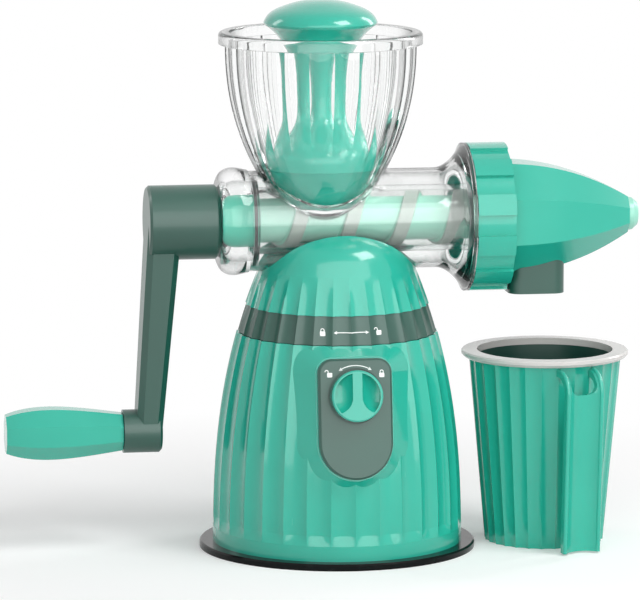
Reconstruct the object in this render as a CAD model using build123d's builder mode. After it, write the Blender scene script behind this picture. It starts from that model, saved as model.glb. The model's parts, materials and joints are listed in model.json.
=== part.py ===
"""Manual wheatgrass juicer: a hand-cranked auger juicer on a suction base, with its juice cup.

Millimetres, +Z up. The origin is on the table at the centre of the suction foot. The barrel runs
along X: the crank is at -X, the strainer cone at +X, and the control knob faces -Y.
"""

import os
from math import cos, pi, radians, sin, sqrt, tan

from build123d import *

os.makedirs("parts", exist_ok=True)

# ---------------------------------------------------------------- driving dimensions: base
base_radius = 75.0  # housing at the table
foot_overhang = 8.0  # rubber suction cup, out past the housing
foot_height = 4.0  # the ring that shows below the housing
lip_width = 15.0  # width of the cup's sealing lip on the table
foot_edge = 1.0  # bevel on the outer edge of the rubber
membrane_inset = 8.0  # from the sealing lip in to the membrane
membrane_gap = 2.6  # hollow under the rubber membrane
membrane_thick = 2.4
upstand_thick = 2.5  # rubber collar inside the housing
upstand_height = 5.8
upstand_gap = 0.2
taper_drop = 20.4  # how much the housing narrows over taper_height
taper_height = 149.0
taper_power = 2.5
base_wall = 2.8
flute_count = 32
flute_depth = 2.0
flute_start = 0.12  # share of the depth at the rim
flute_levels = 4  # steps up the base
rim_height = 9.0  # plain rim below the flutes
runout_height = 6.0  # where the flutes start
seam_z = 130.4  # seam between the base and the turning head
shoulder_thick = 3.0
neck_inset = 16.4  # the neck that the head turns on, in from the body at the seam
neck_wall = 3.0
neck_height = 14.6
lug_count = 3
lug_angle = 20.0
lug_reach = 3.2
lug_height = 3.4
floor_thick = 2.5
guide_height = 12.0
guide_wall = 4.0
post_radius = 4.6
post_inset = 15.0
post_height = 26.0
post_rib = 3.0
post_root = 1.0  # how far a post's rib runs into the wall
screw_radius = 1.7
screw_head_radius = 3.2
screw_head_height = 2.0
screw_length = 14.0
screw_count = 4
screw_start = 45.0  # degrees, first screw of a ring
screw_gap = 0.05

# ---------------------------------------------------------------- driving dimensions: lock
plate_tilt = 8.4  # degrees that the control plate leans back
plate_stand = 6.1  # plate's front face, out from the body at the knob's height
plate_width = 43.7
plate_above = 21.9  # knob centre to the plate's top edge
plate_below = 49.5  # knob centre to the plate's lowest point
plate_corner_top = 8.3
plate_bevel = 1.2
plate_thick = 5.0
pad_margin = 1.0  # housing's raised pad behind the plate
pad_flare = 15.0
pad_depth = 16.0
knob_drop = 27.4  # knob's centre below the seam
knob_radius = 15.2
knob_height = 10.0
knob_recess = 2.0
knob_gap = 1.1
knob_bevel = 0.8
knob_rim = 1.5
knob_scoop_radius = 11.0
knob_scoop_x = 12.6
knob_scoop_y = -0.5  # lower end of the finger hollows
knob_scoop_rise = 5.0
spindle_socket = 5.0
clip_radius = 8.0
clip_thick = 1.2
spindle_radius = 5.0
boss_wall = 3.5
boss_to_cam = 9.0
running_gap = 0.06
fit_gap = 0.3
cam_mean = 11.25  # cam radius under the yoke with the knob upright
cam_lift = 4.5  # over the knob's quarter turn
cam_thick = 8.0
cam_play = 0.75
cam_heel = 7.0
rod_radius = 5.0
rod_flange_radius = 16.0
rod_flange_thick = 2.5
yoke_half_width = 20.0
yoke_side = 4.5
yoke_thick = 8.0
yoke_bar = 6.0

# ---------------------------------------------------------------- driving dimensions: head
axis_rise = 67.6  # barrel's axis above the seam
band_height = 17.0
band_thick = 1.6
fade_height = 22.0  # the flutes fade out over this height above the band
fade_share = 0.8  # share of the depth halfway up
dome_curve = ((1.6, 4.4, 22.0), (6.2, 13.8, 42.0), (15.6, 21.4, 58.0))  # in, up, and lean in degrees
dome_rise = 27.5  # crown above the flutes
dome_wall = 2.6
web_above_band = 2.6
web_thick = 3.0
socket_fit = -0.1
lip_thick = 3.4
lug_play = 2.0
unlock_turn = 25.0
seat_gap = 0.1
band_step = 0.7
pillar_x = 22.0
pillar_y = 10.0
barrel_radius = 30.0
barrel_wall = 2.5
barrel_rear = -54.6  # along the axis, from the middle of the base
bell_start = 59.0
bell_length = 17.0
bell_radius = 44.5
bell_wall = 3.0
bell_rim = 2.0
spigot_radius = 39.6
spigot_wall = 3.0
spigot_length = 13.0
bore_radius = 17.0
tube_wall = 3.0
hopper_x = -10.0
hopper_height = 113.0  # rim above the barrel's axis
hopper_rim_height = 7.0
hopper_rim_radius = 61.0
hopper_rim_round = 2.2
feed_depth = 5.0  # bottom of the feed bowl, above the barrel's axis
feed_corner = 4.0
tube_web = 3.0
hopper_wall = 2.8
hopper_flutes = 24
hopper_flute_depth = 1.5
hopper_top_radius = 57.5  # wall just under the rim
hopper_drop = 32.3  # narrowing down to the barrel
hopper_power = 2.35
hopper_fluted_above = 24.0  # the flutes start here, above the axis
hopper_shares = (0.05, 0.7, 1.0, 1.0, 1.0)  # of the flutes' depth, going up
bowl_height = 9.0  # where the funnel meets the barrel's front, above the axis
cap_length = 17.9
cap_radius = 32.2
cap_rear_radius = 25.5
cap_wall = 3.0
cap_spigot = 4.6
cap_bulge_at = 0.55  # share of the length
cap_lip = 0.8
seal_width = 2.0
seal_depth = 2.0
seal_inset = 1.2
seal_fit = 0.05
bearing_radius = 9.0

# ---------------------------------------------------------------- driving dimensions: drive
journal_radius = 15.6
flight_radius = 16.6
flight_pitch = 31.5
flight_tip = 7.5
flight_root = 10.5
core_radius = 13.2
flight_sink = 1.0
nose_radius = 7.6
nose_gap = 4.0  # to the end of the strainer
flight_stop = 3.0  # the flight ends this far inside the tube
hex_flats = 10.0
shaft_length = 69.0
shaft_into_hub = 31.0
hub_radius = 22.3
hub_length = 42.0
hub_gap = 0.3
crank_throw = 125.5
arm_thick_top = 20.0
arm_thick_low = 15.5
arm_lean = 12.0  # the arm steps outward on its way down
arm_width_top = 30.0
arm_width_low = 23.0
arm_bevel = 3.5
arm_boss_radius = 13.0
arm_boss_proud = 7.5
hub_bevel = 1.5
axle_in_boss = 16.0
grip_length = 70.0
grip_end_radius = 12.0
grip_belly_radius = 16.3
grip_neck_radius = 11.7
grip_shoulder_radius = 15.0
grip_waist_radius = 14.2
grip_facets = 8
axle_radius = 4.0
axle_head_radius = 6.5
axle_head_thick = 3.0
grip_cap_thick = 2.5
grip_cap_radius = 8.5

# ---------------------------------------------------------------- driving dimensions: front
nut_radius = 42.4
nut_lug_height = 2.1
nut_pad_width = 33.0
nut_step = 32.6
nut_step_width = 16.3
nut_length = 23.0
nut_start_gap = 0.4
cone_flange_thick = 6.0
cone_root_radius = 35.8
cone_tip_radius = 7.6
cone_length = 84.6
cone_wall = 2.6
cone_power = 2.1
cone_facets = 8
cone_turn = 22.5
cone_shares = (0.0, 0.3, 0.55, 0.8, 0.93, 1.0)  # sections along the cone
strainer_seat_radius = 30.0
strainer_flange = 2.3
strainer_radius = 22.0
strainer_neck_radius = 10.0
strainer_wall = 1.5
strainer_length = 58.0
outlet_radius = 4.2
outlet_wall = 1.3
tip_length = 6.0
tip_step = 0.5
slot_width = 1.2
slot_rows = 3
slot_count = 14
slot_offset = 0.75  # of a row's pitch
gasket_thick = 1.0
spout_from_flange = 21.5
spout_length = 34.0
spout_width = 34.0
spout_drop = 45.5
spout_wall = 2.4
spout_corner = 8.0

# ---------------------------------------------------------------- driving dimensions: pusher
pusher_rise = 19.0  # crown above the hopper's rim
pusher_cap_radius = 34.0
pusher_cap_rise = 5.5
pusher_crown_share = 0.68
pusher_crown_drop = 4.2
cap_seat_radius = 33.2
cap_seat_rise = 4.0
cap_hollow = 8.0
pusher_throat = (19.5, 13.0)  # radius, and depth below the hopper's rim
pusher_waist = (15.0, 33.0)
pusher_flare = ((17.7, 53.0), (29.5, 63.5), (36.2, 72.0))
pusher_crease_drop = 80.3  # the skirt's lower edge
pusher_crease_step = 0.7
pusher_bottom = 9.0  # flat end, above the barrel's axis
pusher_gap = 0.9
pusher_wall = 2.5
saddle_gap = 1.0

# ---------------------------------------------------------------- driving dimensions: cup
cup_gap = 8.2  # from the rubber foot to the cup
cup_y = 0.0
cup_height = 116.5
cup_rim_height = 4.0
cup_top_radius = 45.8
cup_bottom_radius = 35.8
cup_rim_radius = 50.4
cup_flutes = 28
cup_flute_depth = 1.3
cup_wall = 2.0
liner_wall = 1.5
cup_floor = 4.0
rim_slope = 1.6
handle_angle = -76.5  # degrees from +X
handle_width = 24.4
handle_reach = 61.0  # from the cup's axis to the outer face at the top
handle_top_gap = 1.0  # below the rim
handle_foot = 1.0  # free lower end above the table
handle_tuck = 5.0
handle_bend = 14.0
handle_edge = 2.8  # raised edges each side of the hollow face
handle_edge_round = 1.2
handle_edge_depth = 4.6
handle_hollow = 5.0
handle_web = 2.2
notch_half = 8.4  # opening in the hollow face under the rim
notch_depth = 15.0
notch_round = 6.0

# ---------------------------------------------------------------- shared places and shapes
foot_radius = base_radius + foot_overhang
knob_z = seam_z - knob_drop
axis_z = seam_z + axis_rise
hopper_rim_z = axis_z + hopper_height
bell_end = bell_start + bell_length
spigot_end = bell_end + bell_rim + spigot_length
flange_rear = spigot_end + gasket_thick
cone_start = flange_rear + cone_flange_thick
cone_tip_x = cone_start + cone_length
strainer_end_x = flange_rear + strainer_length
spout_x = cone_start + spout_from_flange


def body_radius(z):
    """Radius of the base and of the dome above it, over the ridges of the flutes."""
    return base_radius - taper_drop * (z / taper_height) ** taper_power


lock_reach = body_radius(knob_z) + plate_stand
BARREL_AXIS = Axis((0, 0, axis_z), (1, 0, 0))
HOPPER_AXIS = Axis((hopper_x, 0, 0), (0, 0, 1))
SIDE = Plane.XZ  # local x is X, local y is Z
BARREL_SIDE = Plane(origin=(0, 0, axis_z), x_dir=(1, 0, 0), z_dir=(0, -1, 0))
HOPPER_SIDE = Plane(origin=(hopper_x, 0, 0), x_dir=(1, 0, 0), z_dir=(0, -1, 0))
LOCK_NORMAL = (0, -cos(radians(plate_tilt)), sin(radians(plate_tilt)))
LOCK_PLANE = Plane(origin=(0, -lock_reach, knob_z), x_dir=(1, 0, 0), z_dir=LOCK_NORMAL)
spindle_reach = lock_reach / cos(radians(plate_tilt))  # plate front to the cam, along the spindle
cam_z = knob_z - lock_reach * tan(radians(plate_tilt))


def across_barrel(x):
    """Plane square to the barrel's axis at x, with local x along +Y and local y along +Z."""
    return Plane(origin=(x, 0, axis_z), x_dir=(0, 1, 0), z_dir=(1, 0, 0))


def hopper_radius(z):
    """Outer radius of the hopper's wall."""
    span = hopper_height - hopper_rim_height / 2
    share = (axis_z + span - z) / (span - bowl_height)
    return hopper_top_radius - hopper_drop * max(share, 0.0) ** hopper_power


def fluted_face(z, radius, depth, count, centre=(0, 0)):
    """Face at height z whose edge is a ring of hollow flutes that meet in ridges."""
    step = 2 * pi / count
    with BuildSketch(Plane.XY.offset(z)) as section:
        with BuildLine():
            for i in range(count):
                ridge = [(radius * cos(turn), radius * sin(turn)) for turn in (i * step, (i + 1) * step)]
                turn = (i + 0.5) * step
                valley = ((radius - depth) * cos(turn), (radius - depth) * sin(turn))
                arc = [(x + centre[0], y + centre[1]) for x, y in (ridge[0], valley, ridge[1])]
                ThreePointArc(*arc)
        make_face()
    return section.sketch


def save(piece, name):
    piece.part.label = name
    export_step(piece.part, f"parts/{name}.step")


# ================================================================ suction base
housing_inner = base_radius - base_wall - flute_depth
upstand_top = foot_height + upstand_height
floor_z = upstand_top + upstand_gap
floor_top = floor_z + floor_thick
membrane_top = membrane_gap + membrane_thick
membrane_radius = foot_radius - lip_width - membrane_inset
upstand_outer = housing_inner - upstand_gap
upstand_inner = upstand_outer - upstand_thick
flute_from = foot_height + rim_height
flute_full = flute_from + runout_height
cavity_top = seam_z - shoulder_thick
neck_radius = body_radius(seam_z) - neck_inset
post_circle = base_radius - post_inset
neck_top = seam_z + neck_height
boss_radius = spindle_radius + boss_wall
boss_end = spindle_reach - cam_thick / 2 - boss_to_cam


def base_section(z, share=1.0):
    radius = body_radius(z)
    return fluted_face(z, radius, share * flute_depth * radius / base_radius, flute_count).face()


def plate_face(grow, behind):
    """Outline of the control plate grown outward, at a depth behind the plate's front."""
    half = plate_width / 2 + grow
    top = plate_above + grow
    corner = plate_corner_top + grow
    bend = corner * (1 - sqrt(0.5))
    low = plate_width / 2 - plate_below
    with BuildSketch(LOCK_PLANE.offset(-behind)) as outline:
        with BuildLine():
            for side in (-1, 1):
                Line((side * half, low), (side * half, top - corner))
                bend_middle = (side * (half - bend), top - bend)
                ThreePointArc((side * half, top - corner), bend_middle, (side * (half - corner), top))
            Line((corner - half, top), (half - corner, top))
            ThreePointArc((half, low), (0, low - half), (-half, low))
        make_face()
    return outline.sketch.face()


def wall_points(low, high, inset, steps=5):
    """Points up the body's profile, moved in by inset."""
    heights = [low + (high - low) * i / steps for i in range(steps + 1)]
    return [(body_radius(z) - inset, z) for z in heights]


with BuildPart() as suction_cup:
    with BuildSketch(SIDE):
        with BuildLine():
            Polyline(
                (membrane_radius, membrane_gap),
                (foot_radius - lip_width, 0),
                (foot_radius, 0),
                (foot_radius, foot_height - foot_edge),
                (foot_radius - foot_edge, foot_height),
                (upstand_outer, foot_height),
                (upstand_outer, upstand_top),
                (upstand_inner, upstand_top),
                (upstand_inner, membrane_top),
                (membrane_radius, membrane_top),
                close=True,
            )
        make_face()
    revolve(axis=Axis.Z)
save(suction_cup, "suction_cup")

with BuildPart() as suction_membrane:
    with BuildSketch(Plane.XY.offset(membrane_gap)):
        Circle(membrane_radius - fit_gap)
    extrude(amount=membrane_thick)
save(suction_membrane, "suction_membrane")

with BuildPart() as base_housing:
    with BuildSketch(SIDE):
        with BuildLine():
            Polyline(
                (0, foot_height),
                (body_radius(foot_height), foot_height),
                (body_radius(flute_from), flute_from),
                (0, flute_from),
                close=True,
            )
        make_face()
    revolve(axis=Axis.Z)
    loft(sections=[base_section(flute_from, flute_start), base_section(flute_full)], ruled=True)
    rise = (seam_z - flute_full) / flute_levels
    loft(sections=[base_section(flute_full + rise * i) for i in range(flute_levels + 1)])
    # raised pad behind the control plate, spreading out towards the wall
    pad_front = plate_face(pad_margin, plate_thick)
    pad_back = plate_face(pad_margin + pad_flare, plate_thick + pad_depth)
    loft(sections=[pad_front, pad_back])
    # the pad stays below the seam, where the head turns
    with BuildSketch(Plane.XY.offset(seam_z)):
        Circle(2 * base_radius)
    extrude(amount=base_radius, mode=Mode.SUBTRACT)
    # hollow inside
    with BuildSketch(SIDE):
        with BuildLine():
            wall = Spline(wall_points(foot_height, cavity_top, base_wall + flute_depth))
            Polyline(wall @ 1, (0, cavity_top), (0, foot_height), wall @ 0)
        make_face()
    revolve(axis=Axis.Z, mode=Mode.SUBTRACT)
    # neck that the head turns on, open in the middle
    with BuildSketch(Plane.XY.offset(cavity_top)):
        Circle(neck_radius)
        Circle(neck_radius - neck_wall, mode=Mode.SUBTRACT)
    extrude(amount=neck_top - cavity_top)
    with BuildSketch(Plane.XY.offset(cavity_top)):
        Circle(neck_radius - neck_wall)
    extrude(amount=shoulder_thick, mode=Mode.SUBTRACT)
    # bayonet lugs
    with BuildSketch(Plane.XY.offset(neck_top - lug_height)):
        Circle(neck_radius + lug_reach)
        Circle(neck_radius - neck_wall / 2, mode=Mode.SUBTRACT)
        with PolarLocations(0, lug_count, start_angle=90):
            with BuildLine():
                Polyline(
                    (0, 0),
                    (2 * neck_radius, -2 * neck_radius * tan(radians(lug_angle / 2))),
                    (2 * neck_radius, 2 * neck_radius * tan(radians(lug_angle / 2))),
                    close=True,
                )
            make_face(mode=Mode.INTERSECT)
    extrude(amount=lug_height)
    # bearing tube for the knob's spindle
    with BuildSketch(LOCK_PLANE.offset(-plate_thick)):
        Circle(boss_radius)
    extrude(amount=plate_thick - boss_end)
    with BuildSketch(LOCK_PLANE):
        Circle(spindle_radius + running_gap)
    extrude(amount=-spindle_reach, mode=Mode.SUBTRACT)
    # posts for the floor plate's screws, ribbed to the wall
    with BuildSketch(Plane.XY.offset(floor_top)):
        with PolarLocations(post_circle, screw_count, start_angle=screw_start):
            Circle(post_radius)
        with PolarLocations((post_circle + housing_inner) / 2, screw_count, start_angle=screw_start):
            Rectangle(housing_inner - post_circle + 2 * post_root, post_rib)
    extrude(amount=post_height)
    with BuildSketch(Plane.XY.offset(floor_top)):
        with PolarLocations(post_circle, screw_count, start_angle=screw_start):
            Circle(screw_radius + screw_gap)
    extrude(amount=screw_length, mode=Mode.SUBTRACT)
save(base_housing, "base_housing")

with BuildPart() as floor_plate:
    with BuildSketch(Plane.XY.offset(floor_z)):
        Circle(housing_inner - fit_gap)
    extrude(amount=floor_thick)
    with BuildSketch(Plane.XY.offset(floor_z)):
        Circle(rod_radius + guide_wall)
    extrude(amount=floor_thick + guide_height)
    with BuildSketch(Plane.XY.offset(floor_z)):
        Circle(rod_radius + fit_gap)
        with PolarLocations(post_circle, screw_count, start_angle=screw_start):
            Circle(screw_radius + screw_gap)
    extrude(amount=floor_thick + guide_height, mode=Mode.SUBTRACT)
save(floor_plate, "floor_plate")


def screws(places, head_z, length):
    """Pan-head screws pointing up, with the underside of their heads at head_z."""
    with BuildPart() as group:
        with BuildSketch(Plane.XY.offset(head_z - screw_head_height)):
            with Locations(*places):
                Circle(screw_head_radius)
        extrude(amount=screw_head_height)
        with BuildSketch(Plane.XY.offset(head_z)):
            with Locations(*places):
                Circle(screw_radius)
        extrude(amount=length)
    return group


post_turns = [radians(screw_start + 360 * i / screw_count) for i in range(screw_count)]
post_places = [(post_circle * cos(turn), post_circle * sin(turn)) for turn in post_turns]
floor_screws = screws(post_places, floor_z, screw_length)
save(floor_screws, "floor_screws")

# ================================================================ suction lock
with BuildPart() as control_plate:
    extrude(plate_face(0, plate_thick), amount=plate_thick, dir=LOCK_NORMAL)
    chamfer(control_plate.faces().sort_by(Axis(LOCK_PLANE.origin, LOCK_NORMAL))[-1].edges(), plate_bevel)
    with BuildSketch(LOCK_PLANE):
        Circle(knob_radius + knob_gap)
    extrude(amount=-knob_recess, mode=Mode.SUBTRACT)
    with BuildSketch(LOCK_PLANE):
        Circle(spindle_radius + fit_gap)
    extrude(amount=-plate_thick, mode=Mode.SUBTRACT)
save(control_plate, "control_plate")

knob_back = knob_recess - fit_gap
knob_front = knob_height - knob_back

scoop_height = knob_front + knob_scoop_rise

# rounded finger hollows each side of the pinch bar, kept inside the knob's rim
with BuildPart() as knob_scoops:
    for side in (-1, 1):
        low_end = LOCK_PLANE.from_local_coords((side * knob_scoop_x, knob_scoop_y, scoop_height))
        with BuildSketch(Plane(origin=low_end, x_dir=(1, 0, 0), z_dir=LOCK_PLANE.y_dir)):
            Circle(knob_scoop_radius)
        extrude(amount=2 * knob_radius)
        with Locations(low_end):
            Sphere(knob_scoop_radius)
    with BuildSketch(LOCK_PLANE.offset(-knob_back)):
        Circle(knob_radius - knob_rim)
    extrude(amount=knob_height + knob_scoop_radius, mode=Mode.INTERSECT)
finger_hollows = knob_scoops.part

with BuildPart() as suction_knob:
    with BuildSketch(LOCK_PLANE.offset(-knob_back)):
        Circle(knob_radius)
    extrude(amount=knob_height)
    chamfer(suction_knob.faces().sort_by(Axis(LOCK_PLANE.origin, LOCK_NORMAL))[-1].edges(), knob_bevel)
    add(finger_hollows, mode=Mode.SUBTRACT)
    with BuildSketch(LOCK_PLANE.offset(-knob_back)):
        Circle(spindle_radius + screw_gap)
    extrude(amount=spindle_socket, mode=Mode.SUBTRACT)
save(suction_knob, "suction_knob")


def cam_point(turn):
    """Point of the cam whose tangent faces turn, counted anticlockwise from straight up."""
    lift = cam_lift / (pi / 2)
    reach = cam_mean + lift * turn
    return (-reach * sin(turn) - lift * cos(turn), reach * cos(turn) - lift * sin(turn))


with BuildPart() as cam_spindle:
    with BuildSketch(LOCK_PLANE.offset(spindle_socket - knob_back)):
        Circle(spindle_radius)
    extrude(amount=-(spindle_reach + spindle_socket - knob_back))
    with BuildSketch(LOCK_PLANE.offset(-spindle_reach - cam_thick / 2)):
        with BuildLine():
            rise = Spline([cam_point(radians(turn)) for turn in range(-60, 61, 20)])
            Polyline(rise @ 1, (-cam_heel, 0), (0, -cam_heel), (cam_heel, 0), rise @ 0)
        make_face()
    extrude(amount=cam_thick)
save(cam_spindle, "cam_spindle")

with BuildPart() as spindle_clip:
    with BuildSketch(LOCK_PLANE.offset(-boss_end - fit_gap)):
        Circle(clip_radius)
        Circle(spindle_radius + screw_gap / 2, mode=Mode.SUBTRACT)
    extrude(amount=-clip_thick)
save(spindle_clip, "spindle_clip")

yoke_top = cam_z + cam_mean + cam_play
yoke_low = cam_z - cam_mean - cam_lift

with BuildPart() as pull_rod:
    with BuildSketch(Plane.XY.offset(membrane_top)):
        Circle(rod_flange_radius)
    extrude(amount=rod_flange_thick)
    with BuildSketch(Plane.XY.offset(membrane_top)):
        Circle(rod_radius)
    extrude(amount=yoke_low - membrane_top)
    with BuildSketch(SIDE):
        with Locations((0, (yoke_low - yoke_bar + yoke_top + yoke_bar) / 2)):
            Rectangle(2 * yoke_half_width, yoke_top - yoke_low + 2 * yoke_bar)
        with Locations((0, (yoke_low + yoke_top) / 2)):
            Rectangle(2 * (yoke_half_width - yoke_side), yoke_top - yoke_low, mode=Mode.SUBTRACT)
    extrude(amount=yoke_thick / 2, both=True)
save(pull_rod, "pull_rod")

# ================================================================ turning head
band_low = seam_z + fit_gap
band_top = seam_z + band_height
web_z = band_top + web_above_band
fade_z = band_top + fade_height
dome_in = dome_wall + flute_depth
roof_low = web_z - web_thick
socket_outer = body_radius(web_z) - dome_in + socket_fit
socket_inner = neck_radius + lug_reach + 2 * fit_gap
lip_top = neck_top - lug_height - fit_gap


def head_section(z, share=1.0, inset=0.0):
    radius = body_radius(z) - inset
    return fluted_face(z, radius, share * flute_depth * radius / base_radius, flute_count).face()


with BuildPart() as lock_band:
    loft(sections=[head_section(z, 1.0, band_step) for z in (band_low, (band_low + band_top) / 2, band_top)])
    with BuildSketch(SIDE):
        with BuildLine():
            wall = Spline(wall_points(band_low, band_top, band_step + flute_depth + band_thick))
            Polyline(wall @ 1, (0, band_top), (0, band_low), wall @ 0)
        make_face()
    revolve(axis=Axis.Z, mode=Mode.SUBTRACT)
save(lock_band, "lock_band")


def dome_profile(inset):
    """Half section of the dome above the flutes, moved in by inset."""
    radius = body_radius(fade_z)
    points = [(radius - inset, fade_z)]
    for inward, up, lean in dome_curve:
        x = radius - inward - inset * cos(radians(lean))
        points.append((x, fade_z + up - inset * sin(radians(lean))))
    crown = (0, fade_z + dome_rise - inset)
    slope = (body_radius(fade_z + 1) - radius, 1)
    Polyline(crown, (0, fade_z), points[0])
    Spline(*points, crown, tangents=[slope, (-1, 0)])


with BuildPart() as dome_cover:
    low = head_section(band_top)
    middle = head_section((band_top + fade_z) / 2, fade_share)
    loft(sections=[low, middle, head_section(fade_z, 0.0)])
    with BuildSketch(SIDE):
        with BuildLine():
            dome_profile(0)
        make_face()
    revolve(axis=Axis.Z)
    with BuildSketch(SIDE):
        with BuildLine():
            dome_profile(dome_wall)
        make_face()
        with BuildLine():
            wall = Spline(wall_points(band_top, fade_z, dome_in, 3))
            Polyline(wall @ 1, (0, fade_z), (0, band_top), wall @ 0)
        make_face()
    revolve(axis=Axis.Z, mode=Mode.SUBTRACT)
    with BuildSketch(across_barrel(0)):
        Circle(barrel_radius + seat_gap)
    extrude(amount=body_radius(0), both=True, mode=Mode.SUBTRACT)
save(dome_cover, "dome_cover")

boss_places = [(x, y) for x in (-pillar_x, pillar_x) for y in (-pillar_y, pillar_y)]

with BuildPart() as bayonet_socket:
    with BuildSketch(Plane.XY.offset(lip_top - lip_thick)):
        Circle(socket_outer)
        Circle(socket_inner, mode=Mode.SUBTRACT)
    extrude(amount=web_z - lip_top + lip_thick)
    with BuildSketch(Plane.XY.offset(roof_low)):
        Circle(socket_outer)
    extrude(amount=web_thick)
    # the lips that reach under the lugs, with three gaps to let the lugs in
    with BuildSketch(Plane.XY.offset(lip_top - lip_thick)):
        Circle(socket_inner)
        Circle(neck_radius + 2 * fit_gap, mode=Mode.SUBTRACT)
        gap_width = 2 * neck_radius * tan(radians(lug_angle / 2 + lug_play))
        with PolarLocations(neck_radius, lug_count, start_angle=90 - unlock_turn):
            Rectangle(4 * lug_reach, gap_width, mode=Mode.SUBTRACT)
    extrude(amount=lip_thick)
    with BuildSketch(Plane.XY.offset(roof_low)):
        with Locations(*boss_places):
            Circle(screw_radius + screw_gap)
    extrude(amount=web_thick, mode=Mode.SUBTRACT)
save(bayonet_socket, "bayonet_socket")

head_screws = screws(boss_places, roof_low, screw_length)
save(head_screws, "head_screws")

# ---------------------------------------------------------------- barrel and hopper, one clear moulding
hopper_fluted_from = axis_z + hopper_fluted_above
feed_low = axis_z + feed_depth


def hopper_wall_points(low, high, inset, steps=6):
    heights = [low + (high - low) * i / steps for i in range(steps + 1)]
    return [(hopper_radius(z) - inset, z) for z in heights]


def feed_cavity():
    """Half section of the space inside the hopper, down to the auger."""
    funnel = Spline(hopper_wall_points(feed_low + feed_corner, hopper_rim_z, hopper_wall))
    corner = (hopper_radius(feed_low) - hopper_wall - feed_corner, feed_low)
    Line(funnel @ 0, corner)
    Polyline(corner, (0, feed_low), (0, hopper_rim_z), funnel @ 1)


rim_low = hopper_rim_z - hopper_rim_height

with BuildPart() as clear_barrel:
    # barrel and the bell that ends in the nut's spigot
    with BuildSketch(BARREL_SIDE):
        with BuildLine():
            flare = Spline(
                (bell_start, barrel_radius),
                (bell_end, bell_radius),
                tangents=[(1, 0), (0.25, 1)],
                tangent_scalars=[1.0, 0.7],
            )
            Polyline(
                flare @ 1,
                (bell_end + bell_rim, bell_radius),
                (bell_end + bell_rim, spigot_radius),
                (spigot_end, spigot_radius),
                (spigot_end, 0),
                (barrel_rear, 0),
                (barrel_rear, barrel_radius),
                flare @ 0,
            )
        make_face()
    revolve(axis=BARREL_AXIS)
    # fluted hopper above, plain funnel below
    rise = (rim_low - hopper_fluted_from) / (len(hopper_shares) - 1)
    sections = []
    for i, share in enumerate(hopper_shares):
        z = hopper_fluted_from + rise * i
        depth = share * hopper_flute_depth
        sections.append(fluted_face(z, hopper_radius(z), depth, hopper_flutes, (hopper_x, 0)).face())
    loft(sections=sections)
    with BuildSketch(SIDE):
        with BuildLine():
            funnel = Spline([(hopper_x + r, z) for r, z in hopper_wall_points(axis_z, hopper_fluted_from, 0)])
            Polyline(funnel @ 1, (hopper_x, hopper_fluted_from), (hopper_x, axis_z), funnel @ 0)
        make_face()
        with Locations((hopper_x + hopper_rim_radius / 2, hopper_rim_z - hopper_rim_height / 2)):
            Rectangle(hopper_rim_radius, hopper_rim_height)
    revolve(axis=HOPPER_AXIS)
    fillet(clear_barrel.edges().filter_by(GeomType.CIRCLE).group_by(Axis.Z)[-1], hopper_rim_round)
    # bore, left in one piece round the feed opening
    with BuildSketch(BARREL_SIDE):
        with BuildLine():
            flare = Spline(
                (bell_start, barrel_radius - barrel_wall),
                (bell_end - bell_wall / 2, spigot_radius - spigot_wall),
                tangents=[(1, 0), (0.4, 1)],
            )
            Polyline(
                flare @ 1,
                (spigot_end - tube_web, spigot_radius - spigot_wall),
                (spigot_end - tube_web, 0),
                (barrel_rear, 0),
                (barrel_rear, barrel_radius - barrel_wall),
                flare @ 0,
            )
        make_face()
    revolve(axis=BARREL_AXIS, mode=Mode.SUBTRACT)
    with BuildSketch(SIDE):
        with BuildLine():
            funnel = Spline([(hopper_x + r, z) for r, z in hopper_wall_points(axis_z, hopper_fluted_from, 0)])
            Polyline(funnel @ 1, (hopper_x, hopper_fluted_from), (hopper_x, axis_z), funnel @ 0)
        make_face()
    revolve(axis=HOPPER_AXIS)
    with BuildSketch(HOPPER_SIDE):
        with BuildLine():
            feed_cavity()
        make_face()
    revolve(axis=HOPPER_AXIS, mode=Mode.SUBTRACT)
    # seat of the auger tube
    with BuildSketch(across_barrel(barrel_rear)):
        Circle(bore_radius + tube_wall + seat_gap)
    extrude(amount=spigot_end - barrel_rear, mode=Mode.SUBTRACT)
    # pillars that stand on the socket's roof
    with BuildSketch(Plane.XY.offset(web_z)):
        with Locations(*boss_places):
            Circle(post_radius)
    extrude(until=Until.NEXT)
    with BuildSketch(Plane.XY.offset(web_z)):
        with Locations(*boss_places):
            Circle(screw_radius + screw_gap)
    extrude(amount=screw_length - web_thick, mode=Mode.SUBTRACT)
save(clear_barrel, "clear_barrel")

tube_rear = barrel_rear + cap_spigot
tube_end = spigot_end + gasket_thick - fit_gap

with BuildPart() as auger_tube:
    with BuildSketch(across_barrel(tube_rear)):
        Circle(bore_radius + tube_wall)
        Circle(bore_radius, mode=Mode.SUBTRACT)
    extrude(amount=tube_end - tube_rear)
    with BuildSketch(HOPPER_SIDE):
        with BuildLine():
            feed_cavity()
        make_face()
    revolve(axis=HOPPER_AXIS, mode=Mode.SUBTRACT)
save(auger_tube, "auger_tube")

cap_rear = barrel_rear - cap_length
cap_plate = barrel_rear - cap_wall

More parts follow.
